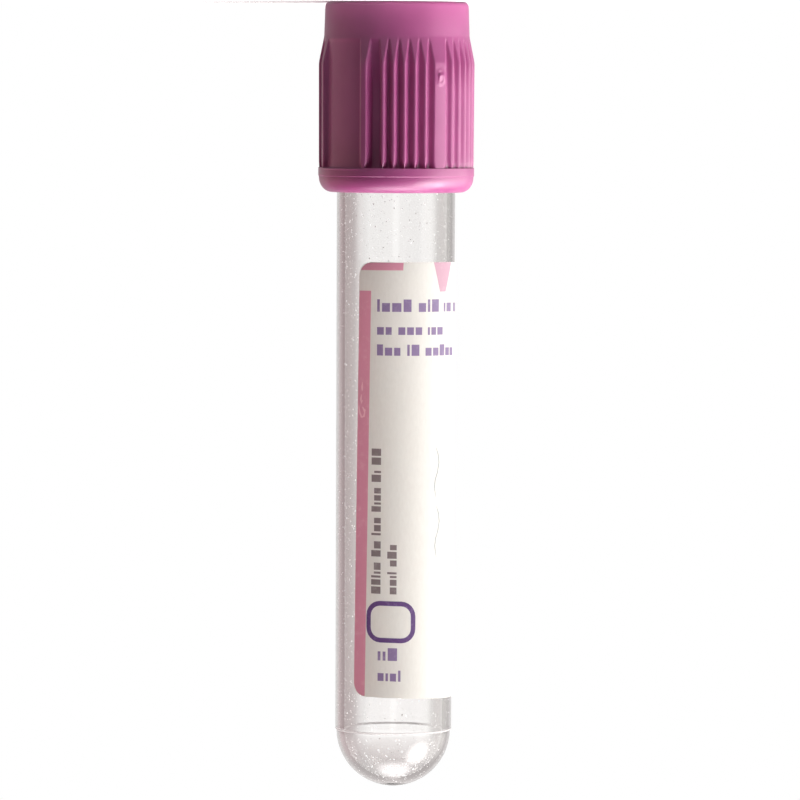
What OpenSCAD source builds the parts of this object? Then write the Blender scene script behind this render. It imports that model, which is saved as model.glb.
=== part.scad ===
// Evacuated blood collection tube with its two-piece closure.
// The tube stands on its cap: z = 0 is the flat top face of the cap, and the
// round bottom of the tube points up. The front of the tube faces -Y.
// Angles round the tube count from the front and grow towards -X.

/* [Tube] */
// Length of the tube, from its open rim to the end of its round bottom
tube_l = 75; // [60:1:100]
// Outer diameter at the open rim
rim_d = 12.55; // [11:0.05:15.5]
// Taper of the outside from the rim to the round bottom, on the diameter
taper = 0.27; // [0:0.01:0.5]
// Wall thickness at the open rim
wall = 0.8; // [0.65:0.05:1.2]
// Thickness of the round bottom
bottom_t = 0.8; // [0.65:0.05:1.2]
// Step in radius at the mould line between barrel and round bottom
mould_step = 0.13; // [0.04:0.01:0.2]
// Distance from the mould line to the centre of the round bottom
mould_inset = 0.15; // [0.05:0.05:0.5]
// Bevel on the open rim, inside and outside
rim_bevel = 0.2; // [0.1:0.05:0.25]

/* [Cap shield] */
// Depth of the open mouth over the stopper
mouth_depth = 3; // [2:0.1:5]
// Width of the collar's wall at the mouth
mouth_wall = 1.4; // [1.2:0.05:1.8]
// Thickness of the shelf that the stopper is snapped onto
shelf_t = 1.2; // [0.8:0.1:2]
// Length of the skirt that hangs past the tube's rim
skirt_l = 12.05; // [10:0.05:16]
// Gap between the skirt and the tube, on the radius
skirt_gap = 0.45; // [0.35:0.05:0.8]
// Wall of the skirt between the grip ribs
skirt_wall = 0.95; // [0.7:0.05:1.5]
// Height of the smooth collar
collar_h = 3.65; // [2.5:0.05:4.5]
// Height of the slope from the collar out to the grip ribs
flare_h = 2.75; // [1.5:0.05:4]
// Height of the plain band at the open end
band_h = 2.6; // [2.2:0.05:4]
// Rounding of the band's outer edge, at most as much as its wall takes
band_round = 1.3; // [0.5:0.05:1.4]
// Rounding of the collar's top edge
collar_round = 0.45; // [0.2:0.05:0.6]

/* [Grip ribs] */
// Height of the ribs over the skirt's wall
rib_out = 0.56; // [0.3:0.01:0.8]
// Angle from one rib to the next
rib_pitch = 8; // [7:0.25:10]
// Angle of the floor between two ribs
floor_angle = 1; // [0.8:0.1:1.5]
// Slope of a rib's sides, from the radius
rib_slope = 33; // [20:1:34]
// Angle of the smooth panel on each side of the cap
panel_angle = 37.5; // [25:0.5:45]
// Angle from the front to the middle of the first smooth panel
panel_turn = -48.5; // [-90:0.5:0]
// Angle of the broad rib on each side of a smooth panel
edge_rib_angle = 9.4; // [8:0.1:14]
// Angle of the wide floor next to the first broad rib
wide_floor_angle = 6.7; // [4:0.1:8]
// Which gap between two ribs is filled, for the moulding gate
gate_gap = 6; // [2:1:9]

/* [Rubber stopper] */
// Height of the stopper's head above the shelf
head_t = 1.5; // [1:0.1:2.5]
// Thickness of the flange between the shelf and the tube's rim
flange_t = 2.3; // [1.5:0.1:3]
// Overlap of the head over the shelf, on the radius
head_grip = 0.95; // [0.5:0.05:1]
// Length of the plug inside the tube
plug_l = 7; // [5:0.1:9]
// Depth of the needle well in the head
well_depth = 2.2; // [1:0.1:3]
// Diameter of the needle well at its mouth
well_d = 6.8; // [5:0.1:7.5]
// Diameter of the needle well at its floor
well_floor_d = 3.8; // [2:0.1:4.5]
// Thickness of rubber that the needle pierces
septum_t = 4.4; // [3:0.1:5]
// Diameter of the recess under the septum
recess_d = 6.4; // [4:0.1:7]
// Clearance of the plug in the bore, on the radius
plug_gap = 0.03; // [0.02:0.01:0.08]
// Height that each sealing ring stands out from the plug
ring_out = 0.07; // [0.03:0.01:0.15]

/* [Label] */
// Length of the label along the tube
label_l = 46; // [30:1:46]
// Distance from the cap to the label
label_start = 7.25; // [5:0.05:9]
// Angle that the label wraps round the tube
label_wrap = 262; // [220:1:310]
// Thickness of the paper
label_t = 0.08; // [0.05:0.01:0.15]
// Rounding of the label's corners
label_corner = 1.5; // [0.5:0.1:3]
// Angle from the front to the label's first side edge, halfway along it
label_turn = -39.5; // [-60:0.5:-20]
// Lean of the label's side edges
label_lean = 0.75; // [0:0.05:1.5]

/* [Dried additive] */
// Number of dried spots on the wall
spot_count = 48; // [30:1:80]
// Thickness of a spot
spot_t = 0.12; // [0.08:0.01:0.15]
// Diameter of a spot
spot_d = 0.7; // [0.4:0.1:1]

/* [Hidden] */
$fn = 96;
eps = 0.01;

// Heights up the stack, from the cap's top face
head_z = mouth_depth;
shelf_z = head_z + head_t;
flange_z = shelf_z + shelf_t;
rim_z = flange_z + flange_t;
plug_end_z = rim_z + plug_l;
cap_h = rim_z + skirt_l;
rib_end_z = cap_h - band_h;
end_z = rim_z + tube_l;
label_z = cap_h + label_start;

// The round bottom is a half ball, stepped in from the barrel at the mould line
foot_r = (rim_d - taper) / 2;
dome_r = foot_r - mould_step;
dome_z = end_z - dome_r;
mould_z = dome_z - mould_inset;
mould_bevel = 0.3;
bore_end_r = dome_r - bottom_t;

// Radii of the cap shield, from the bore outward
skirt_r = rim_d / 2 + skirt_gap;
root_r = skirt_r + skirt_wall;
crest_r = root_r + rib_out;
rib_draft = 0.05;
collar_draft = 0.12;
collar_r = root_r - collar_draft;
mouth_r = collar_r - mouth_wall;
mouth_bevel = 0.25;
crease_z = cap_h - band_h * 2 / 3;
crease_in = 0.06;
band_r = crest_r - crease_in;
lip_land = 0.08;
lip_bevel = 0.07;
lip_round = min(band_round, band_r - skirt_r - lip_land - lip_bevel);
lip_r = band_r - lip_round;

// Radii of the stopper, from the shelf that it snaps onto
seat_step = 0.2;
seat_r = mouth_r - seat_step;
seat_gap = 0.15;
head_r = seat_r - seat_gap;
shelf_r = head_r - head_grip;
neck_gap = 0.1;
neck_r = shelf_r - neck_gap;
flange_gap = 0.3;
flange_r = skirt_r - flange_gap;
rubber_round = 0.3;
plug_lead = 0.5;
ring_h = 0.9;
ring_places = [0.25, 0.6];

// Grip pattern over half a turn: a smooth panel, a broad rib, a wide floor, then
// ribs at one pitch with one gap filled, and the broad rib of the next panel
panel_end = panel_turn + panel_angle / 2;
rib_start = panel_end + edge_rib_angle + wide_floor_angle;
rib_span = 180 - panel_angle - 2 * edge_rib_angle - wide_floor_angle;
ribs = floor(rib_span / rib_pitch);
half_turns = [0, 180];
floors = concat(
    [[panel_end - panel_angle, panel_end], [rib_start - wide_floor_angle, rib_start]],
    [for (i = [1 : ribs - 1]) if (i != gate_gap)
        [rib_start + i * rib_pitch - floor_angle, rib_start + i * rib_pitch]],
    [[rib_start + ribs * rib_pitch - floor_angle, rib_start + rib_span]]);
gate_angle = rib_start + gate_gap * rib_pitch - floor_angle / 2;
gate_z = collar_h + flare_h + 1.4;
gate_r = 0.45;
gate_depth = 0.15;

// Outer and inner radius of the tube at a height
function share(z) = (z - rim_z) / (dome_z - rim_z);
function tube_r(z) = rim_d / 2 - taper / 2 * share(z);
function bore_r(z) = rim_d / 2 - wall - (rim_d / 2 - wall - bore_end_r) * share(z);

// Points of a round corner: centre, radius, first and last angle
function corner(c, r, from, to, steps = 6) =
    [for (i = [0 : steps]) let (a = from + (to - from) * i / steps)
        [c[0] + r * cos(a), c[1] + r * sin(a)]];

// A turn about Z that brings +X to an angle counted from the front
function from_front(a) = 270 - a;

module bore_space(from_z) {
    translate([0, 0, from_z])
        cylinder(r1 = bore_r(from_z), r2 = bore_end_r, h = dome_z - from_z);
    translate([0, 0, dome_z])
        sphere(r = bore_end_r);
}

module tube() {
    shoulder_z = rim_z + rim_bevel;
    color([0.86, 0.88, 0.89, 0.4])
    difference() {
        union() {
            translate([0, 0, rim_z])
                cylinder(r1 = tube_r(rim_z) - rim_bevel, r2 = tube_r(shoulder_z), h = rim_bevel);
            translate([0, 0, shoulder_z])
                cylinder(r1 = tube_r(shoulder_z), r2 = tube_r(mould_z), h = mould_z - shoulder_z);
            translate([0, 0, mould_z])
                cylinder(r1 = tube_r(mould_z), r2 = dome_r - eps, h = mould_bevel);
            translate([0, 0, mould_z])
                cylinder(r = dome_r, h = mould_inset);
            translate([0, 0, dome_z])
                sphere(r = dome_r);
        }
        bore_space(rim_z);
        translate([0, 0, rim_z - eps])
            cylinder(r1 = bore_r(rim_z) + rim_bevel + eps, r2 = bore_r(rim_z), h = rim_bevel + eps);
    }
}

// The bare strip between the label's two side edges, seen along its own middle.
// It widens at both ends, which rounds the label's corners.
module bare_strip() {
    half_angle = (360 - label_wrap) / 2;
    half_w = tube_r(label_z + label_l / 2) * sin(half_angle);
    c = label_corner;
    squash = cos(half_angle);
    side = [for (p = concat(corner([-c, c - label_l / 2], c, 270, 360),
                            corner([-c, label_l / 2 - c], c, 0, 90)))
        [half_w - squash * p[0], p[1]]];
    far_side = [for (i = [len(side) - 1 : -1 : 0]) [-side[i][0], side[i][1]]];
    end_w = half_w + squash * c;
    end_y = label_l / 2 + 1;
    outline = concat([[end_w, -end_y]], side, [[end_w, end_y], [-end_w, end_y]],
                     far_side, [[-end_w, -end_y]]);
    polygon([for (p = outline) [p[0] + tan(label_lean) * p[1], p[1]]]);
}

module label() {
    z0 = label_z - eps;
    z1 = label_z + label_l + eps;
    strip_middle = label_turn - (360 - label_wrap) / 2;
    color("ivory")
    difference() {
        translate([0, 0, label_z])
            cylinder(r1 = tube_r(label_z) + label_t, r2 = tube_r(label_z + label_l) + label_t,
                     h = label_l);
        translate([0, 0, z0])
            cylinder(r1 = tube_r(z0), r2 = tube_r(z1), h = z1 - z0);
        translate([0, 0, label_z + label_l / 2])
            rotate([90, 0, from_front(strip_middle) + 90])
                linear_extrude(height = rim_d)
                    bare_strip();
    }
}

// Spots spread by the golden angle between the stopper and the round bottom
module dried_additive() {
    golden_angle = 137.508;
    first_z = plug_end_z + 3;
    color("white")
    intersection() {
        bore_space(plug_end_z, $fn = 256);
        for (i = [0 : spot_count - 1]) {
            z = first_z + (dome_z - first_z) * (i + 0.5) / spot_count;
            rotate([0, 0, i * golden_angle])
                translate([bore_r(z) - spot_t, 0, z])
                    rotate([0, 90, 0])
                        cylinder(d = spot_d, h = spot_t + 1, $fn = 48);
        }
    }
}

module stopper_profile() {
    recess_z = head_z + well_depth + septum_t;
    seal_r = bore_r(plug_end_z) - plug_gap;
    plug_r = seal_r - ring_out;
    rings = [for (place = ring_places) let (z = rim_z + plug_l * place)
        each [[plug_r, z - ring_h / 2], [seal_r, z - ring_h / 4],
              [seal_r, z + ring_h / 4], [plug_r, z + ring_h / 2]]];
    polygon(concat(
        [[0, head_z + well_depth], [well_floor_d / 2, head_z + well_depth], [well_d / 2, head_z]],
        corner([head_r - rubber_round, head_z + rubber_round], rubber_round, 270, 360),
        [[head_r, shelf_z], [neck_r, shelf_z], [neck_r, flange_z], [flange_r, flange_z]],
        corner([flange_r - rubber_round, rim_z - rubber_round], rubber_round, 0, 90),
        [[plug_r, rim_z]],
        rings,
        [[plug_r, plug_end_z - plug_lead], [plug_r - plug_lead, plug_end_z]],
        [[recess_d / 2, plug_end_z], [recess_d / 2, recess_z + rubber_round]],
        [[recess_d / 2 - rubber_round, recess_z], [0, recess_z]]));
}

module rubber_stopper() {
    color([0.47, 0.16, 0.36])
    rotate_extrude()
        stopper_profile();
}

// Section of the shield's wall, out to the crests of the ribs
module shield_profile() {
    polygon(concat(
        [[mouth_r, mouth_bevel], [mouth_r + mouth_bevel, 0]],
        corner([collar_r - collar_round, collar_round], collar_round, 270, 360),
        [[root_r, collar_h], [crest_r, collar_h + flare_h], [crest_r - rib_draft, rib_end_z]],
        [[crest_r, rib_end_z], [crest_r, crease_z], [band_r, crease_z + crease_in]],
        corner([lip_r, cap_h - lip_round], lip_round, 0, 90),
        [[skirt_r + lip_bevel, cap_h], [skirt_r, cap_h - lip_bevel]],
        [[skirt_r, flange_z], [shelf_r, flange_z], [shelf_r, shelf_z], [seat_r, shelf_z]],
        [[seat_r, head_z], [mouth_r, head_z]]));
}

// What is cleared between two ribs: a floor on the wall and two sloping sides. It
// starts inside the collar, where the wall is narrower than the floor.
module rib_gap(from, to) {
    reach = 2.5;
    depth = 1;
    start_z = collar_h - depth;
    function side(angle, out, way) =
        let (a = from_front(angle), r = root_r + out, aside = way * out * tan(rib_slope))
            [r * cos(a) + aside * sin(a), r * sin(a) - aside * cos(a)];
    difference() {
        translate([0, 0, start_z])
            linear_extrude(height = rib_end_z - start_z)
                polygon([side(from, -depth, -1), side(from, reach, -1),
                         side(to, reach, 1), side(to, -depth, 1)]);
        cylinder(r = root_r, h = cap_h);
    }
}

module cap_shield() {
    color([0.72, 0.30, 0.58])
    difference() {
        rotate_extrude()
            shield_profile();
        for (turn = half_turns, f = floors)
            rib_gap(f[0] + turn, f[1] + turn);
        rotate([0, 0, from_front(gate_angle)])
            translate([crest_r + gate_r - gate_depth, 0, gate_z])
                sphere(r = gate_r);
    }
}

tube();
label();
dried_additive();
rubber_stopper();
cap_shield();
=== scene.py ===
"""A closed evacuated blood tube that stands on its cap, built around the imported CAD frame.

Sizes are in millimetres and angles in degrees until a mesh is made. An angle round the
tube is counted from its front, which faces -Y, and grows towards -X. The tube stands with
its cap on the floor, so Z grows from the cap's flat face to the tube's round bottom.
"""
import math
import random

import bmesh
import bpy
from mathutils import Matrix, Vector


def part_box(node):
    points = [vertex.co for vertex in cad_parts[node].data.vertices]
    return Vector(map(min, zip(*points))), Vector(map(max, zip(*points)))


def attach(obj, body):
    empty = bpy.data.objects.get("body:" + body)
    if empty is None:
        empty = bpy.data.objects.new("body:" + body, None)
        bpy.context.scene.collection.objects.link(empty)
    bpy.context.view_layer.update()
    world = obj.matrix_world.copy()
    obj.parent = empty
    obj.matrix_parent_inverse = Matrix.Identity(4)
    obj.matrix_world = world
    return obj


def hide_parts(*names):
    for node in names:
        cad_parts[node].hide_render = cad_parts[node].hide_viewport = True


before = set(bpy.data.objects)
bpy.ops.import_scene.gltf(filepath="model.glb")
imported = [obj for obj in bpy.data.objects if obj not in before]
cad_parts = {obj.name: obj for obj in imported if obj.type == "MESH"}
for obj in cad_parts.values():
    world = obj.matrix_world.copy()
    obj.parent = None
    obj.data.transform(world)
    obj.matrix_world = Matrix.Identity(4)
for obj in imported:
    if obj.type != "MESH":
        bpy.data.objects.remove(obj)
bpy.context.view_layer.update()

MM = 0.001


def box_mm(node):
    """Lowest and highest corner of a CAD node, in millimetres."""
    low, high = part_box(node)
    return low / MM, high / MM


cap_high = box_mm("cap_shield")[1]
stopper_low, stopper_high = box_mm("rubber_stopper")
tube_low, tube_high = box_mm("tube")
label_low, label_high = box_mm("label")

# Walls, steps and gaps, as in the CAD source
RIB_DEPTH = 0.56
COLLAR_STEP = 0.12
COLLAR_WALL = 1.4
SEAT_STEP = 0.2
HEAD_GAP = 0.15
SHELF_WIDTH = 0.95
BAND_STEP = 0.06
SKIRT_GAP = 0.45
TUBE_WALL = 0.8
BARREL_TAPER = 0.135
MOULD_STEP = 0.13

# Radii of the cap shield
CREST_R = cap_high.x
ROOT_R = CREST_R - RIB_DEPTH
COLLAR_R = ROOT_R - COLLAR_STEP
MOUTH_R = COLLAR_R - COLLAR_WALL
SEAT_R = MOUTH_R - SEAT_STEP
HEAD_R = SEAT_R - HEAD_GAP
SHELF_R = HEAD_R - SHELF_WIDTH
BAND_R = CREST_R - BAND_STEP

# Radii of the tube
RIM_R = tube_high.x
FOOT_R = RIM_R - BARREL_TAPER
DOME_R = FOOT_R - MOULD_STEP
BORE_RIM_R = RIM_R - TUBE_WALL
BORE_END_R = DOME_R - TUBE_WALL
SKIRT_R = RIM_R + SKIRT_GAP

# Heights of the cap shield and the stopper
CAP_H = cap_high.z
COLLAR_H = 3.65
FLARE_END_Z = COLLAR_H + 2.75
RIB_END_Z = CAP_H - 2.6
CREASE_Z = CAP_H - 1.733
HEAD_Z = stopper_low.z
SHELF_Z = HEAD_Z + 1.5
FLANGE_Z = SHELF_Z + 1.2
PLUG_END_Z = stopper_high.z
LIP_WIDTH = 1.4
LIP_HEIGHT = 1.6
LIP_STEPS = 9

# Heights of the tube
RIM_Z = tube_low.z
END_Z = tube_high.z
DOME_Z = END_Z - DOME_R
MOULD_Z = DOME_Z - 0.15

# Steps round the axis
CAP_STEPS = 720
STOPPER_STEPS = 160
TUBE_STEPS = 256

# Grip pattern over half a turn: the angles of its ribs, panels and floors
RIB_PITCH = 8
FLOOR_ANGLE = 1
RIB_SLOPE = 33
PANEL_ANGLE = 37.5
PANEL_TURN = -48.5
EDGE_RIB_ANGLE = 9.4
WIDE_FLOOR_ANGLE = 6.7
GATE_GAP = 6

# How the grooves begin, deepen and end, and how far they go below the panels
GROOVE_START_Z = 3.75
GROOVE_START_LENGTH = 0.5
DEEPEN_LENGTH = 6
GROOVE_END_LENGTH = 0.9
GROOVE_END_PULL = 0.13
RIB_BLEND = 0.12
GROOVE_EXTRA = 0.12
GROOVE_LOSS = 0.2
SIDE_EXTRA = -0.25
WIDE_EXTRA = 0.45

# Flash line along the end of a panel
BEAD_RISE = 0.1
BEAD_SIZE = 0.06
BEAD_HEIGHT = 0.05

# Gate mark: half widths and half lengths of its dimple, and its nib's place and reach
GATE_Z = FLARE_END_Z + 1.5
DIMPLE_ACROSS = 0.42
DIMPLE_ALONG = 0.72
DIMPLE_DEPTH = 0.1
DIMPLE_LIP = 0.03
NIB_HEIGHT = 0.27
NIB_ACROSS = -0.13
NIB_ALONG = -0.14
NIB_RIGHT, NIB_LEFT = 0.42, 0.15
NIB_UP, NIB_DOWN = 0.58, 0.27

# Dried additive: counts, sizes, the bare length past the plug, and a power that crowds the
# dome's specks towards its tip the more, the further it is below 1
WALL_SPECKS = 3600
DOME_SPECKS = 620
SPECK_SIDES = 5
SPECK_SIZE = 0.036
WALL_GROWTH = 0.075
DOME_GROWTH = 0.1
BARE_LENGTH = 4
DOME_CROWDING = 0.45

# Label
LABEL_T = 0.08
LABEL_GAP = 0.012
LABEL_Z0 = label_low.z
LABEL_Z1 = label_high.z
LABEL_WRAP = 262
LABEL_TURN = -39.5
LABEL_LEAN = 0.75
LABEL_CORNER = 1.5
LABEL_COLUMNS = 150
HIGH_END_RISE = 0.4
HIGH_END_DROP = 0.3
LOW_END_RISE = 0.38
CUT_LINE = 0.05
INK_LOW = LABEL_T + 0.003
INK_HIGH = LABEL_T + 0.012
OVER_INK = INK_HIGH - INK_LOW + 0.002


# ---------------------------------------------------------------- geometry helpers

def around(radius, angle, z):
    """A point in metres, from a radius and height in mm and an angle from the front."""
    a = math.radians(angle)
    return Vector((-radius * math.sin(a), -radius * math.cos(a), z)) * MM


def smooth_min(a, b, blend):
    overlap = max(blend - abs(a - b), 0) / blend
    return min(a, b) - overlap * overlap * blend / 4


def smooth_max(a, b, blend):
    return -smooth_min(-a, -b, blend)


def smooth_step(x):
    x = min(max(x, 0), 1)
    return x * x * (3 - 2 * x)


def rounded(corners, arc_step=12):
    """A closed outline of (r, z, ribbed) points with an arc at each corner.

    A corner is (r, z, radius), or (r, z, radius, True) where the grip pattern is cut.
    """
    outline = []
    count = len(corners)
    for i, (r, z, radius, *ribbed) in enumerate(corners):
        here = Vector((r, z))
        back = Vector(corners[i - 1][:2]) - here
        ahead = Vector(corners[(i + 1) % count][:2]) - here
        half = back.angle(ahead) / 2
        if radius == 0 or half > math.radians(89.5):
            outline.append((r, z, bool(ribbed)))
            continue
        reach = min(radius / math.tan(half), back.length * 0.48, ahead.length * 0.48)
        start = back.normalized() * reach
        end = ahead.normalized() * reach
        middle = (start + end).normalized() * reach / math.cos(half)
        turn = math.degrees(math.pi - 2 * half)
        steps = max(2, math.ceil(turn / arc_step))
        for k in range(steps + 1):
            spoke = (start - middle).lerp(end - middle, k / steps)
            spoke = spoke.normalized() * (start - middle).length
            point = here + middle + spoke
            outline.append((point.x, point.y, bool(ribbed)))
    return outline


def split_by_height(a, b, step_at):
    """Points between two outline points, no further apart in height than step_at allows."""
    if abs(b[1] - a[1]) <= step_at((a[1] + b[1]) / 2):
        return [a]
    middle = ((a[0] + b[0]) / 2, (a[1] + b[1]) / 2, a[2])
    return split_by_height(a, middle, step_at) + split_by_height(middle, b, step_at)


def make_piece(name, vertices, faces, body, slot, material, node=None, sharp=40):
    """A mesh object with smooth shading that rides on a body and may replace a CAD node."""
    mesh = bpy.data.meshes.new(name)
    mesh.from_pydata(vertices, [], faces)
    mesh.validate()
    form = bmesh.new()
    form.from_mesh(mesh)
    bmesh.ops.recalc_face_normals(form, faces=form.faces)
    form.to_mesh(mesh)
    form.free()
    mesh.shade_smooth()
    mesh.set_sharp_from_angle(angle=math.radians(sharp))
    mesh.materials.append(material)
    piece = bpy.data.objects.new(name, mesh)
    bpy.context.scene.collection.objects.link(piece)
    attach(piece, body)
    if node:
        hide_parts(node)


def lathe(outline, angles, radius_at=None):
    """Vertices and faces of a closed (r, z, ribbed) outline turned through all the angles.

    Where the outline is ribbed, radius_at gives the radius at each angle.
    """
    vertices, rings = [], []
    for r, z, ribbed in outline:
        if r < 1e-6:
            rings.append([len(vertices)] * len(angles))
            vertices.append(around(0, 0, z))
            continue
        ring = []
        for angle in angles:
            radius = radius_at(r, z, angle) if ribbed else r
            ring.append(len(vertices))
            vertices.append(around(radius, angle, z))
        rings.append(ring)
    faces = []
    count = len(angles)
    for i, ring in enumerate(rings):
        following = rings[(i + 1) % len(rings)]
        if ring[0] == ring[-1] and following[0] == following[-1]:
            continue
        for j in range(count):
            k = (j + 1) % count
            corners = [ring[j], following[j], following[k], ring[k]]
            faces.append(list(dict.fromkeys(corners)))
    return vertices, faces


def even_angles(count, start=0):
    return [start + 360 * i / count for i in range(count)]


# ---------------------------------------------------------------- node helpers

class Tree:
    """Short ways to build a node tree."""

    def __init__(self, tree):
        self.nodes = tree.nodes
        self.links = tree.links

    def node(self, kind, *values, operation=None, **inputs):
        """A node whose sockets are set, or linked to, by order and then by name."""
        made = self.nodes.new(kind)
        if operation:
            made.operation = operation
        pairs = list(zip(made.inputs, values))
        pairs += [(made.inputs[key.replace("_", " ")], value) for key, value in inputs.items()]
        for socket, value in pairs:
            if isinstance(value, bpy.types.NodeSocket):
                self.links.new(value, socket)
            else:
                socket.default_value = value
        return made

    def maths(self, operation, *values):
        return self.node("ShaderNodeMath", *values, operation=operation).outputs[0]

    def spread(self, value, start, end, low=0.0, high=1.0, smooth=True):
        """A number that runs from low to high as value goes from start to end."""
        made = self.node("ShaderNodeMapRange", value, start, end, low, high)
        made.interpolation_type = "SMOOTHSTEP" if smooth else "LINEAR"
        return made.outputs["Result"]

    def mix(self, share, a, b):
        return self.node("ShaderNodeMixShader", share, a, b).outputs[0]

    def place(self, kind):
        return self.node("ShaderNodeTexCoord").outputs[kind]

    def light_path(self, *kinds):
        """1 for a ray of any of the kinds, and 0 for the rest."""
        path = self.node("ShaderNodeLightPath")
        share = path.outputs[kinds[0]]
        for kind in kinds[1:]:
            share = self.maths("MAXIMUM", share, path.outputs[kind])
        return share


class Shader(Tree):
    """A material with one Principled shader."""

    def __init__(self, name):
        self.material = bpy.data.materials.new(name)
        self.material.use_nodes = True
        super().__init__(self.material.node_tree)
        self.principled = self.nodes["Principled BSDF"]
        self.output = self.nodes["Material Output"]

    def set(self, **values):
        for key, value in values.items():
            self.principled.inputs[key.replace("_", " ")].default_value = value

    def noise(self, scale, detail=4.0, stretch=(1, 1, 1), roughness=0.5):
        """Noise in object space; scale is in features per metre."""
        mapping = self.node("ShaderNodeMapping", Vector=self.place("Object"), Scale=stretch)
        return self.node("ShaderNodeTexNoise", Vector=mapping.outputs["Vector"], Scale=scale,
                         Detail=detail, Roughness=roughness).outputs["Fac"]

    def between(self, factor, low, high):
        """A number that runs from low to high over the middle of a noise's range."""
        return self.spread(factor, 0.3, 0.7, low, high, smooth=False)

    def colours(self, factor, *stops):
        """A colour ramp from (position, colour) stops."""
        ramp = self.node("ShaderNodeValToRGB", Fac=factor)
        for element, (position, colour) in zip(ramp.color_ramp.elements, stops):
            element.position = position
            element.color = (*colour, 1)
        return ramp.outputs["Color"]

    def link(self, socket, name):
        self.links.new(socket, self.principled.inputs[name])

    def bump(self, height, depth_mm, strength):
        made = self.node("ShaderNodeBump", Height=height, Distance=depth_mm * MM,
                         Strength=strength)
        self.link(made.outputs["Normal"], "Normal")


def cap_material():
    """Soft violet polyethylene with a satin skin."""
    s = Shader("violet_polyethylene")
    mottle = s.noise(260, detail=3)
    s.link(s.colours(mottle, (0.3, (0.47, 0.082, 0.282)), (0.7, (0.52, 0.097, 0.317))),
           "Base Color")
    s.link(s.between(s.noise(900, detail=5), 0.34, 0.44), "Roughness")
    s.bump(s.noise(5200, detail=3), 0.012, 0.35)
    s.set(IOR=1.55, Specular_IOR_Level=1.0, Subsurface_Weight=0.15,
          Subsurface_Radius=(1.0, 0.45, 0.75), Subsurface_Scale=0.0005,
          Sheen_Weight=0.09, Sheen_Roughness=0.4, Sheen_Tint=(1, 0.86, 0.86, 1))
    return s.material


def tube_material():
    """Clear PET with the faint flow lines of moulding."""
    s = Shader("clear_pet")
    s.set(Base_Color=(0.998, 0.996, 0.993, 1), Transmission_Weight=1.0, IOR=1.57)
    s.link(s.between(s.noise(500, detail=4, stretch=(1, 1, 0.08)), 0.0, 0.035), "Roughness")
    s.bump(s.noise(700, detail=3, stretch=(1, 1, 0.06)), 0.004, 0.3)
    return s.material


def flash_material():
    """The tube's own plastic, matt and whitened; a painted glow keeps it pale in shade."""
    s = Shader("matt_pet_painted_glow")
    s.link(s.colours(s.noise(900, detail=2), (0.3, (0.33, 0.31, 0.31)), (0.7, (0.43, 0.41, 0.41))),
           "Base Color")
    s.link(s.between(s.noise(1500, detail=2), 0.5, 0.65), "Roughness")
    # Painted glow: emission that keeps the line pale where it lies in shade
    s.set(Emission_Color=(1, 0.95, 0.94, 1), Emission_Strength=0.34)
    return s.material


def rubber_material():
    """Moulded rubber with a dusty bloom."""
    s = Shader("stopper_rubber")
    bloom = s.noise(600, detail=5)
    s.link(s.colours(bloom, (0.3, (0.20, 0.045, 0.13)), (0.7, (0.26, 0.07, 0.175))), "Base Color")
    s.link(s.between(bloom, 0.5, 0.68), "Roughness")
    s.bump(s.noise(4000, detail=3), 0.01, 0.4)
    return s.material


def paper_material():
    """Coated label paper with fine fibres; its back has a painted glow for light through it."""
    s = Shader("label_paper")
    fibre = s.noise(3500, detail=6, stretch=(1, 1, 0.35), roughness=0.65)
    s.link(s.colours(fibre, (0.3, (0.79, 0.765, 0.735)), (0.7, (0.83, 0.81, 0.78))), "Base Color")
    s.link(s.between(fibre, 0.42, 0.55), "Roughness")
    s.bump(fibre, 0.006, 0.35)
    s.set(Subsurface_Weight=0.15, Subsurface_Radius=(1.0, 0.9, 0.85), Subsurface_Scale=0.0001,
          Emission_Color=(1, 0.96, 0.92, 1))
    # The back faces the axis, so the normal there points against the place
    outward = s.node("ShaderNodeVectorMath", s.place("Object"), s.place("Normal"),
                     operation="DOT_PRODUCT").outputs["Value"]
    # Painted glow on the back face only, in place of light that passes through the paper
    s.link(s.spread(outward, -0.004, -0.005, 0.0, 0.33), "Emission Strength")
    return s.material


def ink_material(name, colour, worn):
    """Printed ink that lets a little of the paper's grain through."""
    s = Shader(name)
    grain = s.noise(1200, detail=7, roughness=0.7)
    s.link(s.colours(grain, (0.3, worn), (0.48, colour)), "Base Color")
    s.link(s.between(grain, 0.38, 0.52), "Roughness")
    return s.material


def additive_material():
    """Salt grains with a painted glow, bright on some and dim on others, for the light they
    scatter.
    """
    s = Shader("dried_salt_painted_glow")
    s.link(s.colours(s.noise(3000), (0.3, (0.93, 0.92, 0.91)), (0.7, (0.97, 0.97, 0.97))),
           "Base Color")
    # Painted glints: the glow is near white on some grains and dark on others
    s.link(s.colours(s.noise(2500), (0.42, (0.16, 0.12, 0.11)), (0.55, (1, 1, 1))),
           "Emission Color")
    s.set(Roughness=0.4, Emission_Strength=0.8)
    return s.material


# ---------------------------------------------------------------- cap shield

def half_turn_floors():
    """The floors between ribs over half a turn, as (first, last), the gate and the first rib.

    The panel and the wide floor beside it come first. The gate's broad rib stands where one
    of the narrow floors would be.
    """
    panel_end = PANEL_TURN + PANEL_ANGLE / 2
    start = panel_end + EDGE_RIB_ANGLE + WIDE_FLOOR_ANGLE
    span_angle = 180 - PANEL_ANGLE - 2 * EDGE_RIB_ANGLE - WIDE_FLOOR_ANGLE
    ribs = math.floor(span_angle / RIB_PITCH)
    floors = [(panel_end - PANEL_ANGLE, panel_end), (start - WIDE_FLOOR_ANGLE, start)]
    for i in range(1, ribs):
        if i != GATE_GAP:
            end = start + i * RIB_PITCH
            floors.append((end - FLOOR_ANGLE, end))
    floors.append((start + ribs * RIB_PITCH - FLOOR_ANGLE, start + span_angle))
    gate = start + GATE_GAP * RIB_PITCH - FLOOR_ANGLE / 2
    return floors, gate, start


FLOORS, GATE_ANGLE, RIB_START = half_turn_floors()
ARC = math.radians(1) * ROOT_R


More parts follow.
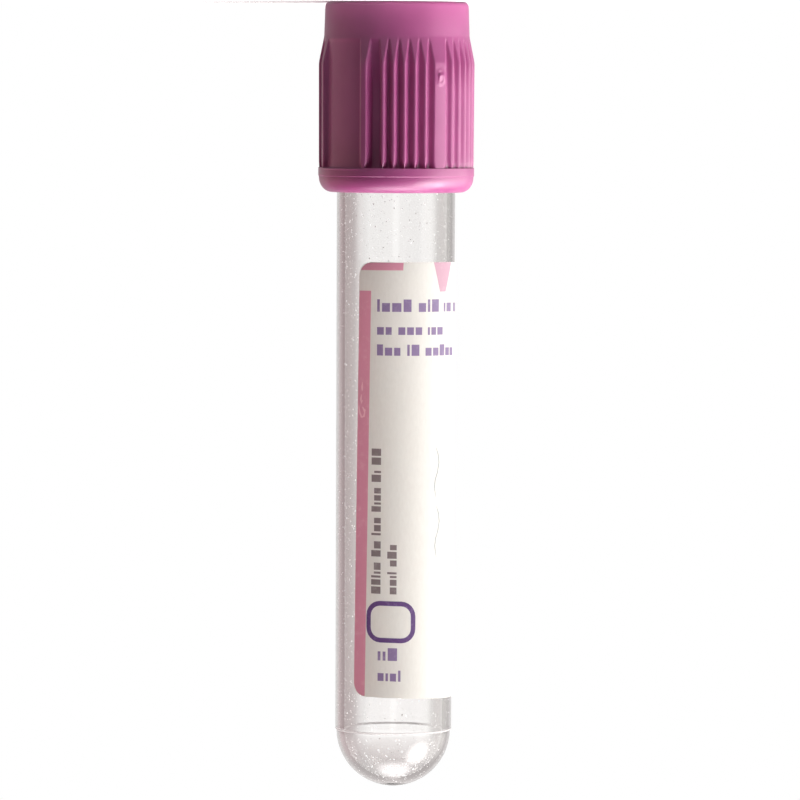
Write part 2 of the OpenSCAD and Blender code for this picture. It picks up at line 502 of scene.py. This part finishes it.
def groove_extra(width, middle):
    """How far a groove goes below the panels: less towards the gate, and not so far past it."""
    if width > PANEL_ANGLE / 2:
        return 0
    if width > WIDE_FLOOR_ANGLE / 2:
        return WIDE_EXTRA
    share = (middle - RIB_START) / (GATE_GAP * RIB_PITCH)
    return GROOVE_EXTRA - GROOVE_LOSS * share if share < 1 else SIDE_EXTRA


def rib_height(angle, pulled_in, deep=1):
    """Height of the flanks over the panels' radius; the grooves go deeper than the panels."""
    heights = []
    slope = math.tan(math.radians(RIB_SLOPE))
    for first, last in FLOORS:
        middle = (first + last) / 2
        off = (angle - middle + 90) % 180 - 90
        flank = ((abs(off) - (last - first) / 2) * ARC - pulled_in) / slope
        deeper = deep * groove_extra(last - first, middle)
        steeper = 1 + deeper / (CREST_R - ROOT_R)
        heights.append(smooth_max(0, flank * steeper, 0.1) - deeper)
    return min(heights)


def gate_mark(angle, z):
    """Height of the torn gate on its broad rib: an oval dimple with a plump nib in it."""
    across = ((angle - GATE_ANGLE + 180) % 360 - 180) * ARC
    along = z - GATE_Z
    place = math.hypot(across / DIMPLE_ACROSS, along / DIMPLE_ALONG)
    if place > 2:
        return 0
    dimple = -DIMPLE_DEPTH * (1 - smooth_step(place))
    lip = DIMPLE_LIP * math.exp(-((place - 1.05) / 0.22) ** 2)
    right, up = across - NIB_ACROSS, along - NIB_ALONG
    nib = NIB_HEIGHT * math.exp(-(right / (NIB_RIGHT if right > 0 else NIB_LEFT)) ** 2
                                - (up / (NIB_UP if up > 0 else NIB_DOWN)) ** 2)
    return dimple + lip + nib


def bead(angle, z):
    """Height of the fine flash line that the mould left along the end of a panel."""
    along = (z - RIB_END_Z - BEAD_RISE) / BEAD_SIZE
    across = abs((angle - PANEL_TURN + 90) % 180 - 90) - PANEL_ANGLE / 2
    return BEAD_HEIGHT * math.exp(-along ** 2) * smooth_step(1 - across / 2)


def build_cap():
    """The shield in one piece, with the grip pattern cut into its outside."""
    angles = even_angles(CAP_STEPS, RIB_START)
    shallow = {angle: rib_height(angle, 0, 0) for angle in angles}
    full = {angle: rib_height(angle, 0) for angle in angles}
    short = {angle: rib_height(angle, GROOVE_END_PULL) for angle in angles}

    def ribbed_radius(r, z, angle):
        if z > RIB_END_Z + 0.01:
            return r + bead(angle, z)
        begun = smooth_step((z - GROOVE_START_Z) / GROOVE_START_LENGTH)
        depth = smooth_step((z - GROOVE_START_Z) / DEEPEN_LENGTH)
        taper = smooth_step((z - RIB_END_Z + GROOVE_END_LENGTH) / GROOVE_END_LENGTH)
        height = shallow[angle] + (full[angle] - shallow[angle]) * depth
        height += (short[angle] - full[angle]) * taper
        cut = smooth_min(r, ROOT_R + height, RIB_BLEND)
        return r + (cut - r) * begun + gate_mark(angle, z)

    def step_at(z):
        """The most height between two rings: less where the grooves turn, and at the gate."""
        if z < FLARE_END_Z + 0.3:
            return 0.2
        if abs(z - GATE_Z) < 1.2:
            return 0.12
        return 0.14 if z > RIB_END_Z - 1 else 1.5

    lip = []
    for k in range(LIP_STEPS + 1):
        t = math.radians(90 * k / LIP_STEPS)
        lip.append((BAND_R - LIP_WIDTH * (1 - math.cos(t)),
                    CAP_H - LIP_HEIGHT * (1 - math.sin(t)), 0))
    outline = rounded([
        (MOUTH_R, 0, 0.25),
        (COLLAR_R, 0, 0.45),
        (ROOT_R, COLLAR_H, 2.2, True),
        (CREST_R, FLARE_END_Z, 2.6, True),
        (CREST_R - 0.05, RIB_END_Z, 0, True),
        (CREST_R, RIB_END_Z, 0.05),
        *[(CREST_R, RIB_END_Z + BEAD_SIZE * k, 0, True) for k in range(1, 6)],
        (CREST_R, CREASE_Z, 0.02),
        (BAND_R, CREASE_Z + 0.05, 0.02),
        *lip,
        (SKIRT_R, CAP_H - 0.04, 0.02),
        (SKIRT_R, FLANGE_Z, 0.15),
        (SHELF_R, FLANGE_Z, 0.1),
        (SHELF_R, SHELF_Z, 0.1),
        (SEAT_R, SHELF_Z, 0.1),
        (SEAT_R, HEAD_Z, 0.04),
        (MOUTH_R, HEAD_Z, 0.04),
    ], arc_step=24)
    dense = []
    for i, point in enumerate(outline):
        following = outline[(i + 1) % len(outline)]
        if point[2] and following[2]:
            dense += split_by_height(point, following, step_at)
        else:
            dense.append(point)
    vertices, faces = lathe(dense, angles, ribbed_radius)
    make_piece("grip_cap", vertices, faces, "closure", "cap_plastic", cap_material(),
               "cap_shield", sharp=50)


# ---------------------------------------------------------------- stopper

def build_stopper():
    """The rubber stopper: needle well, head, neck, flange, and a plug with two sealing rings."""
    well_r, well_floor_r, recess_r = 3.4, 1.9, 3.2
    well_z = HEAD_Z + 2.2
    recess_z = well_z + 4.4
    neck_r = SHELF_R - 0.1
    flange_r = SKIRT_R - 0.3
    seal_r = bore_r(PLUG_END_Z) - 0.03
    plug_r = seal_r - 0.07
    plug_l = PLUG_END_Z - RIM_Z
    chamfer = 0.5

    def seal(z):
        return [(plug_r, z - 0.45, 0.1), (seal_r, z - 0.22, 0.1),
                (seal_r, z + 0.22, 0.1), (plug_r, z + 0.45, 0.1)]

    outline = rounded([
        (0, well_z, 0),
        (well_floor_r, well_z, 0.3),
        (well_r, HEAD_Z, 0.3),
        (HEAD_R, HEAD_Z, 0.3),
        (HEAD_R, SHELF_Z, 0.1),
        (neck_r, SHELF_Z, 0.1),
        (neck_r, FLANGE_Z, 0.1),
        (flange_r, FLANGE_Z, 0.2),
        (flange_r, RIM_Z, 0.3),
        (plug_r, RIM_Z, 0.1),
        *seal(RIM_Z + plug_l * 0.25),
        *seal(RIM_Z + plug_l * 0.6),
        (plug_r, PLUG_END_Z - chamfer, 0.3),
        (plug_r - chamfer, PLUG_END_Z, 0.3),
        (recess_r, PLUG_END_Z, 0.3),
        (recess_r, recess_z, 0.4),
        (0, recess_z, 0),
    ])
    vertices, faces = lathe(outline, even_angles(STOPPER_STEPS))
    make_piece("soft_stopper", vertices, faces, "closure", "stopper_rubber", rubber_material(),
               "rubber_stopper", sharp=50)


# ---------------------------------------------------------------- tube

def barrel_share(z):
    return (z - RIM_Z) / (DOME_Z - RIM_Z)


def tube_r(z):
    return RIM_R - (RIM_R - FOOT_R) * barrel_share(z)


def bore_r(z):
    return BORE_RIM_R + (BORE_END_R - BORE_RIM_R) * barrel_share(z)


def dome(radius, steps, mark=0):
    """Quarter circle in (r, z) from the barrel to the end, with the gate's mark at the tip.

    The mark is a ring-shaped dent of that depth round a middle that stands half as proud.
    """
    points = []
    for i in range(steps + 1):
        a = math.radians(90 * i / steps)
        r = radius * math.cos(a)
        dent = mark * math.exp(-((r - 0.95) / 0.16) ** 2)
        proud = 0.5 * mark * math.exp(-(r / 0.4) ** 2)
        z = DOME_Z + radius * math.sin(a) - (dent - proud)
        points.append((0 if i == steps else r, z, False))
    return points


def build_tube():
    """The clear tube, and the matt line that the mould's joint left round it."""
    turns = even_angles(TUBE_STEPS)
    # Rings this far from the walls' ends keep the smooth normals square to the walls there,
    # and so what is seen through the tube straight
    flat = 0.35
    # The last two corners only show the arc before them which way to turn
    barrel = rounded([
        (bore_r(RIM_Z + flat), RIM_Z + flat, 0),
        (BORE_RIM_R, RIM_Z, 0.2),
        (RIM_R, RIM_Z, 0.22),
        (tube_r(RIM_Z + flat), RIM_Z + flat, 0),
        (tube_r(MOULD_Z - flat), MOULD_Z - flat, 0),
        (tube_r(MOULD_Z), MOULD_Z, 0.06),
        (DOME_R + 0.002, MOULD_Z + 0.2, 0.08),
        (DOME_R, MOULD_Z + 0.45, 0),
        (BORE_END_R, DOME_Z, 0),
    ])[:-2]
    inside = [(bore_r(DOME_Z - flat), DOME_Z - flat, False)] + dome(BORE_END_R, 48)
    outside = [point for point in dome(DOME_R, 72, 0.07) if point[1] > MOULD_Z + 0.4]
    vertices, faces = lathe(barrel + outside + inside[::-1], turns)
    make_piece("clear_tube", vertices, faces, "tube_body", "clear_plastic", tube_material(),
               "tube", sharp=50)

    step_r = tube_r(MOULD_Z) + 0.006
    low_z, high_z = MOULD_Z - 0.02, MOULD_Z + 0.19
    flash = rounded([
        (step_r, MOULD_Z - 0.03, 0.02),
        (step_r, MOULD_Z + 0.04, 0.02),
        (DOME_R + 0.02, high_z, 0.02),
        (DOME_R - 0.05, high_z, 0),
        (DOME_R - 0.05, low_z, 0),
    ], arc_step=40)
    vertices, faces = lathe(flash, turns)
    # The mould line's material paints a glow on it
    make_piece("mould_line", vertices, faces, "tube_body", "clear_plastic", flash_material())


def build_additive():
    """Fine dried specks on the inner wall, crowded in the round bottom."""
    draw = random.Random(7)
    vertices, faces = [], []

    def speck(middle, outward, size):
        """A flat grain with a point on each side; one in three stands clear of the wall."""
        out = outward.normalized()
        side = out.cross(Vector((0.3, 0.2, 1))).normalized()
        along = out.cross(side)
        height = size * draw.uniform(0.3, 0.6)
        turn = draw.uniform(0, math.pi)
        base = middle - out * height * draw.choice((0.3, 0.3, 1.1))
        start = len(vertices)
        for k in range(SPECK_SIDES):
            a = turn + math.tau * k / SPECK_SIDES
            reach = size * draw.uniform(0.7, 1.2)
            vertices.append(base + (side * math.cos(a) + along * math.sin(a)) * reach)
        vertices.append(base + out * height)
        vertices.append(base - out * height)
        outer, inner = start + SPECK_SIDES, start + SPECK_SIDES + 1
        for k in range(SPECK_SIDES):
            a, b = start + k, start + (k + 1) % SPECK_SIDES
            faces.append((outer, b, a))
            faces.append((inner, a, b))

    for _ in range(WALL_SPECKS):
        z = draw.uniform(PLUG_END_Z + BARE_LENGTH, DOME_Z)
        angle = draw.uniform(0, 360)
        size = SPECK_SIZE + WALL_GROWTH * draw.random() ** 3
        place = around(bore_r(z), angle, z)
        speck(place, Vector((place.x, place.y, 0)), size * MM)
    middle = Vector((0, 0, DOME_Z)) * MM
    for _ in range(DOME_SPECKS):
        rise = math.asin(draw.random() ** DOME_CROWDING)
        angle = draw.uniform(0, 360)
        size = SPECK_SIZE + DOME_GROWTH * draw.random() ** 2
        out = around(math.cos(rise), angle, math.sin(rise))
        speck(middle + out * BORE_END_R, out, size * MM)
    make_piece("additive_specks", vertices, faces, "tube_body", "dried_additive",
               additive_material(), "dried_additive", sharp=60)


# ---------------------------------------------------------------- label

LABEL_MIDDLE = (LABEL_Z0 + LABEL_Z1) / 2
LABEL_ARC = math.degrees(1 / (tube_r(LABEL_MIDDLE) + LABEL_T))


def on_label(angle, z, lift):
    """A point over the tube; the label's two ends run askew, so they shift as it goes round."""
    high_end = HIGH_END_RISE * smooth_step((angle + 60) / 160) - HIGH_END_DROP
    low_end = LOW_END_RISE * smooth_step((angle - 50) / 110)
    share = (z - LABEL_Z0) / (LABEL_Z1 - LABEL_Z0)
    place = z + high_end * share + low_end * (1 - share)
    return around(tube_r(place) + lift, angle, place)


def lean(z):
    """How far the label's side edges have moved round at a height, in degrees."""
    return -(z - LABEL_MIDDLE) * math.tan(math.radians(LABEL_LEAN)) * LABEL_ARC


def label_edges(z, inset=0.0):
    """First and last angle of the label at a height, with its lean and round corners."""
    corner = LABEL_CORNER - inset
    to_end = min(z - LABEL_Z0, LABEL_Z1 - z) - inset
    short = 0
    if to_end < corner:
        short = corner - math.sqrt(max(corner ** 2 - (corner - max(to_end, 0)) ** 2, 0))
    first = LABEL_TURN + lean(z) + (inset + short) * LABEL_ARC
    return first, 2 * LABEL_TURN + LABEL_WRAP + 2 * lean(z) - first


def label_rows(inset=0.0):
    """Heights of the label's rows, close together at its round corners."""
    corner_rows, plain_rows = 10, 16
    corner = LABEL_CORNER - inset
    bow = [corner * (1 - math.cos(math.radians(90 * i / corner_rows)))
           for i in range(corner_rows)]
    low = [LABEL_Z0 + inset + b for b in bow]
    high = [LABEL_Z1 - inset - b for b in reversed(bow)]
    first, last = LABEL_Z0 + LABEL_CORNER, LABEL_Z1 - LABEL_CORNER
    plain = [first + (last - first) * i / plain_rows for i in range(plain_rows + 1)]
    return low + plain + high


def add_slab(sheet, rows, inner, outer):
    """Adds a closed thin slab that follows the tube, from rows of (angle, z)."""
    vertices, faces = sheet
    start = len(vertices)
    for lift in (inner, outer):
        for row in rows:
            vertices.extend(on_label(angle, z, lift) for angle, z in row)
    width = len(rows[0])
    layer = width * len(rows)
    for i in range(len(rows) - 1):
        for j in range(width - 1):
            a = start + i * width + j
            faces.append((a, a + 1, a + width + 1, a + width))
            b = a + layer
            faces.append((b, b + width, b + width + 1, b + 1))
    rim = list(range(width))
    rim += [i * width + width - 1 for i in range(1, len(rows))]
    rim += [(len(rows) - 1) * width + j for j in range(width - 2, -1, -1)]
    rim += [i * width for i in range(len(rows) - 2, 0, -1)]
    rim = [start + i for i in rim]
    for a, b in zip(rim, rim[1:] + rim[:1]):
        faces.append((a, a + layer, b + layer, b))


def span(first, last, z, columns):
    return [(first + (last - first) * j / columns, z) for j in range(columns + 1)]


def build_label():
    sheet = ([], [])
    rows = [span(*label_edges(z), z, LABEL_COLUMNS) for z in label_rows()]
    add_slab(sheet, rows, LABEL_GAP, LABEL_T)
    make_piece("paper_label", *sheet, "tube_body", "label_paper", paper_material(), "label",
               sharp=30)


# ---------------------------------------------------------------- print

def add_field(sheet, first, last, z0, z1, rows=2):
    """A four-sided field of ink; first and last give the edge angles at its two ends."""
    columns = max(2, math.ceil(abs(last[0] - first[0]) / 3))
    lines = []
    for i in range(rows + 1):
        share = i / rows
        left = first[0] + (first[1] - first[0]) * share
        right = last[0] + (last[1] - last[0]) * share
        lines.append(span(left, right, z0 + (z1 - z0) * share, columns))
    add_slab(sheet, lines, INK_LOW, INK_HIGH)


def run_between(back, ahead):
    """Direction, in mm, from one (angle, z) to another."""
    return Vector(((ahead[0] - back[0]) / LABEL_ARC, ahead[1] - back[1])).normalized()


def add_stroke(sheet, points, width, lift=0.0):
    """A pen line through (angle, z) points, thin at both ends."""
    rows = []
    last = len(points) - 1
    for i, (angle, z) in enumerate(points):
        run = run_between(points[max(i - 1, 0)], points[min(i + 1, last)])
        half = width / 2 * (0.35 if i in (0, last) else 1)
        rows.append([(angle - run.y * half * LABEL_ARC, z + run.x * half),
                     (angle + run.y * half * LABEL_ARC, z - run.x * half)])
    add_slab(sheet, rows, INK_LOW + lift, INK_HIGH + lift)


def add_words(sheet, draw, place, length, size, turned=False):
    """Words shown as rows of plain blocks.

    They start at a place, an (angle, z), and run across the label, or up it when turned.
    """
    def spot(x, y):
        if turned:
            return place[0] - y * LABEL_ARC, place[1] - x
        return place[0] + x * LABEL_ARC, place[1] - y

    x = 0
    while x < length - 0.6 * size:
        for _ in range(draw.randint(2, 6)):
            width = size * draw.choice((0.2, 0.5, 0.58, 0.66))
            high = size * draw.choice((1, 0.74, 0.74))
            if x + width > length:
                x = length
                break
            a, b = spot(x, 0.1 * size), spot(x + width, high)
            add_field(sheet, (min(a[0], b[0]),) * 2, (max(a[0], b[0]),) * 2,
                      min(a[1], b[1]), max(a[1], b[1]), 1)
            x += width + 0.16 * size
        x += 0.4 * size


def round_box(first, last, low, high, bend):
    """Points round a box with round corners, close enough together to follow the tube."""
    corners = []
    for angle, z, turn in ((first, low, 180), (last, low, 270), (last, high, 0), (first, high, 90)):
        middle = (angle + bend * LABEL_ARC * (1 if angle == first else -1),
                  z + bend * (1 if z == low else -1))
        for k in range(7):
            a = math.radians(turn + 15 * k)
            corners.append((middle[0] + bend * LABEL_ARC * math.cos(a),
                            middle[1] + bend * math.sin(a)))
    ring = []
    for i, point in enumerate(corners):
        ahead = corners[(i + 1) % len(corners)]
        steps = max(1, math.ceil(abs(ahead[0] - point[0]) / 3))
        for k in range(steps):
            share = k / steps
            ring.append((point[0] + (ahead[0] - point[0]) * share,
                         point[1] + (ahead[1] - point[1]) * share))
    return ring


def add_loop(sheet, ring, width):
    """A closed line of ink through a ring of (angle, z) points."""
    vertices, faces = sheet
    start = len(vertices)
    count = len(ring)
    for i, (angle, z) in enumerate(ring):
        run = run_between(ring[i - 1], ring[(i + 1) % count])
        for side, lift in ((-1, INK_LOW), (1, INK_LOW), (1, INK_HIGH), (-1, INK_HIGH)):
            half = side * width / 2
            vertices.append(on_label(angle + run.y * half * LABEL_ARC, z - run.x * half, lift))
    for i in range(count):
        a, b = start + 4 * i, start + 4 * ((i + 1) % count)
        for k in range(4):
            following = (k + 1) % 4
            faces.append((a + k, b + k, b + following, a + following))


def make_print(name, sheet, ink, colour, worn):
    make_piece(name, *sheet, "tube_body", "label_paper", ink_material(ink, colour, worn))


def build_print():
    """Fields of colour, plain blocks and loose strokes in the places of the label's print."""
    # A bar across the label's low end, and a long one along its first edge
    end_bar_z, side_bar_z = LABEL_Z0 + 1.02, LABEL_Z0 + 3.02
    rows = label_rows(CUT_LINE)
    pink = ([], [])
    end_bar = [span(label_edges(z, CUT_LINE)[0], 7.6 - 0.4 * (z - LABEL_Z0), z, 16)
               for z in rows if z < end_bar_z]
    add_slab(pink, end_bar, INK_LOW, INK_HIGH)
    edge = LABEL_TURN + (CUT_LINE + 1.4) * LABEL_ARC
    side_bar = [span(label_edges(z, CUT_LINE)[0], edge + lean(z), z, 5)
                for z in [side_bar_z] + [z for z in rows if z > side_bar_z + 0.08]]
    add_slab(pink, side_bar, INK_LOW, INK_HIGH)
    make_print("pink_print", pink, "pink_ink", (0.72, 0.30, 0.42), (0.77, 0.38, 0.49))

    arrow = ([], [])
    add_field(arrow, (39.6, 47.8), (67.3, 56.4), LABEL_Z0 + 0.02, LABEL_Z0 + 3.1, 4)
    make_print("pink_arrow", arrow, "pale_pink_ink", (0.63, 0.37, 0.47), (0.68, 0.44, 0.53))

    # Scratches through the long bar's ink, as (angle, z) points
    scuffs = ([], [])
    for line in (((-32.8, 40.0), (-33.2, 40.5), (-33.0, 40.9)),
                 ((-32.4, 41.9), (-33.6, 42.2), (-34.6, 41.8), (-33.8, 41.3)),
                 ((-36.9, 42.5), (-35.9, 43.2), (-33.6, 43.7), (-31, 43.6), (-29.6, 42.9)),
                 ((-32.6, 42.6), (-31, 42.9), (-30.3, 43.2))):
        add_stroke(scuffs, line, 0.22, OVER_INK)
    make_print("scuff_marks", scuffs, "scuffed_ink", (0.86, 0.5, 0.58), (0.86, 0.6, 0.66))

    # Rows of blocks across the label, as (first angle, z, length, size)
    draw = random.Random(23)
    purple = ([], [])
    for angle, z, length, size in ((-17.6, 32.65, 11.2, 1.45), (-17.6, 35.05, 8.4, 1.25),
                                   (-17.6, 37.25, 10.4, 1.3), (-15.5, 69.5, 3.1, 1.5),
                                   (-15.5, 71.65, 3.1, 1.3)):
        add_words(purple, draw, (angle, z), length, size)
    make_print("purple_words", purple, "pale_purple_ink", (0.27, 0.19, 0.36), (0.36, 0.28, 0.45))

    mark = ([], [])
    add_loop(mark, round_box(-25, 19, 63.3, 67.2, 1.3), 0.5)
    make_print("purple_box", mark, "purple_ink", (0.13, 0.065, 0.21), (0.24, 0.15, 0.34))

    grey = ([], [])
    add_words(grey, draw, (-12, 62.3), 15.4, 1.15, turned=True)
    add_words(grey, draw, (3.5, 62.3), 5.5, 1.1, turned=True)
    make_print("grey_print", grey, "grey_ink", (0.24, 0.19, 0.20), (0.34, 0.29, 0.30))

    # Two plain wavy strokes, as (angle, z) points
    pen = ([], [])
    for line in (((44, 46.8), (47, 47.6), (48, 48.4), (46, 49.4), (43, 50.2), (42, 51),
                  (44, 52)),
                 ((45, 53), (48, 53.8), (49, 54.6), (47, 55.6), (44, 56.4), (43, 57.2),
                  (45, 58.4))):
        add_stroke(pen, line, 0.13)
    make_print("pen_marks", pen, "pen_ink", (0.42, 0.42, 0.43), (0.6, 0.6, 0.6))


# ---------------------------------------------------------------- world, floor, camera

def build_world():
    """White to the camera, a backdrop behind the clear tube, and soft lights to the rest.

    The lights are the backdrop's own, a faint one from all round, a main one high at the
    right, one overhead, a broad one low at the right and a faint pink one at the left. Right
    and left are the picture's: a positive angle is at its right.
    """
    world = bpy.data.worlds.new("studio")
    bpy.context.scene.world = world
    world.use_nodes = True
    tree = Tree(world.node_tree)
    tree.nodes.clear()
    direction = tree.place("Generated")
    parts = tree.node("ShaderNodeSeparateXYZ", direction)
    x, y, z = (parts.outputs[axis] for axis in "XYZ")

    def glow(colour, strength, share=None):
        if share is not None:
            strength = tree.maths("MULTIPLY", share, strength)
        return tree.node("ShaderNodeBackground", (*colour, 1), strength).outputs[0]

    def lobe(angle, height, inner, outer, colour, strength):
        """Soft light from one direction, full within one angle and gone past the other."""
        a, rise = math.radians(angle), math.radians(height)
        towards = (-math.cos(rise) * math.sin(a), -math.cos(rise) * math.cos(a), math.sin(rise))
        along = tree.node("ShaderNodeVectorMath", direction, towards, operation="DOT_PRODUCT")
        share = tree.spread(along.outputs["Value"], math.cos(math.radians(outer)),
                            math.cos(math.radians(inner)))
        return glow(colour, strength, share)

    def add(*shaders):
        total = shaders[0]
        for shader in shaders[1:]:
            total = tree.node("ShaderNodeAddShader", total, shader).outputs[0]
        return total

    # What the clear tube shows: a white panel that greys to each side, repeated every
    # quarter turn, and a more even grey for the rays that climb
    high_level, high_share = 0.56, 0.7
    bearing = tree.maths("DEGREES", tree.maths("ARCTAN2", x, y))
    off = tree.maths("ABSOLUTE", tree.maths("WRAP", bearing, 45.0, -45.0))
    panel = tree.maths("SUBTRACT", tree.spread(off, 4.0, 10, 1.0, 0.5, smooth=False),
                       tree.spread(off, 10, 40, 0.0, 0.2, smooth=False))
    panel = tree.maths("MULTIPLY", panel, tree.spread(z, 0.03, 0.09, 1.0, 1.1))
    raised = tree.spread(z, 0.08, 0.2)
    share = tree.maths("MULTIPLY", raised, high_share)
    level = tree.maths("ADD", tree.maths("MULTIPLY", panel, tree.maths("SUBTRACT", 1.0, share)),
                       tree.maths("MULTIPLY", share, high_level))
    through = tree.mix(tree.maths("MAXIMUM", tree.spread(off, 4.5, 16), raised),
                       glow((1, 0.985, 0.975), 1.0, level), glow((1, 0.93, 0.92), 1.0, level))
    lit = add(
        glow((1, 0.97, 0.965), 0.7, tree.spread(y, 0.45, 0.85)),
        glow((1, 0.72, 0.68), 0.032),
        lobe(65, 42, 4, 27, (1, 0.985, 0.965), 9.1),
        lobe(40, 87, 4, 28, (1, 0.98, 0.98), 6.5),
        lobe(93, 9, 10, 50, (1, 0.985, 0.94), 3.4),
        lobe(-105, 5, 15, 48, (1, 0.45, 0.5), 0.85),
    )
    path = tree.node("ShaderNodeLightPath").outputs
    direct = tree.maths("LESS_THAN", path["Diffuse Depth"], 0.5)
    clear = tree.maths("MULTIPLY", direct, path["Is Transmission Ray"])
    unseen = tree.mix(clear, lit, through)
    final = tree.mix(tree.light_path("Is Camera Ray"), unseen, glow((1, 1, 1), 1.0))
    output = tree.node("ShaderNodeOutputWorld")
    tree.links.new(final, output.inputs["Surface"])


def build_lamp():
    """A tall soft box at the front left, masked off below the label, that fills its shaded side."""
    bearing, distance = math.radians(-38), 120
    low, high, width = 26, 135, 30
    data = bpy.data.lights.new("label_fill", "AREA")
    data.shape = "RECTANGLE"
    data.size = width * MM
    data.size_y = (high - low) * MM
    data.spread = math.radians(6)
    data.energy = 0.004
    data.color = (1, 0.93, 0.86)
    lamp = bpy.data.objects.new("label_fill", data)
    lamp.location = Vector((-distance * math.sin(bearing), -distance * math.cos(bearing),
                            (low + high) / 2)) * MM
    lamp.rotation_euler = (math.radians(90), 0, -bearing)
    lamp.visible_camera = lamp.visible_glossy = lamp.visible_transmission = False
    bpy.context.scene.collection.objects.link(lamp)


def build_floor():
    """A pale floor that keeps the shadow near the cap and fades to the white background.

    That is what the camera sees, and what shows through the tube. Reflections see it white
    all over, at a lower strength. To light that surfaces scatter it is pale close round the
    cap and nearly black further off. Sizes and distances here are in metres.
    """
    half, drop = 0.6, 0.00002
    shadow_start, shadow_end = 0.012, 0.055
    pale_end, dark_start = 0.0085, 0.0107
    reflected_strength = 0.45
    mesh = bpy.data.meshes.new("floor")
    corners = [(-half, -half, 0), (half, -half, 0), (half, half, 0), (-half, half, 0)]
    mesh.from_pydata(corners, [], [(0, 1, 2, 3)])
    floor = bpy.data.objects.new("floor", mesh)
    bpy.context.scene.collection.objects.link(floor)
    floor.location.z = -drop
    s = Shader("pale_floor")
    s.set(Base_Color=(0.9, 0.9, 0.9, 1), Roughness=0.8)
    distance = s.node("ShaderNodeVectorMath", s.place("Object"),
                      operation="LENGTH").outputs["Value"]
    # A ray bent by the tube counts as glossy as well, and isn't a reflection
    not_bent = s.maths("SUBTRACT", s.light_path("Is Glossy Ray"),
                       s.light_path("Is Transmission Ray"))
    reflection = s.maths("MAXIMUM", not_bent, 0.0)
    fade = s.maths("MAXIMUM", s.spread(distance, shadow_start, shadow_end), reflection)
    strength = s.spread(reflection, 0, 1, 1.0, reflected_strength)
    white = s.node("ShaderNodeEmission", (1, 1, 1, 1), strength).outputs[0]
    seen = s.mix(fade, s.principled.outputs[0], white)
    bounce = s.colours(s.spread(distance, pale_end, dark_start),
                       (0, (0.8, 0.78, 0.78)), (1, (0.04, 0.04, 0.04)))
    unseen = s.node("ShaderNodeBsdfDiffuse", bounce).outputs[0]
    shown = s.light_path("Is Camera Ray", "Is Glossy Ray", "Is Transmission Ray")
    s.links.new(s.mix(shown, unseen, seen), s.output.inputs["Surface"])
    mesh.materials.append(s.material)


def build_camera():
    """Level with the cap and upside down, so that the cap is at the top of the picture."""
    distance, eye_z, aim_z = 640, 10, 42.04
    aside = -0.535
    tilt = math.radians(0.31)
    eye = Vector((aside, -distance, eye_z)) * MM
    aim = Vector((aside, 0, aim_z)) * MM
    forward = (aim - eye).normalized()
    right = Vector((-math.cos(tilt), 0, -math.sin(tilt)))
    up = right.cross(forward).normalized()
    right = forward.cross(up)
    data = bpy.data.cameras.new("camera")
    data.sensor_width = 36
    data.lens = 272.35
    data.clip_start, data.clip_end = 0.01, 10
    camera = bpy.data.objects.new("camera", data)
    turn = Matrix((right, up, -forward)).transposed()
    camera.matrix_world = Matrix.Translation(eye) @ turn.to_4x4()
    bpy.context.scene.collection.objects.link(camera)
    bpy.context.scene.camera = camera


build_camera()
build_cap()
build_stopper()
build_tube()
build_additive()
build_label()
build_print()
build_floor()
build_world()
build_lamp()
bpy.context.scene.view_settings.view_transform = "Standard"
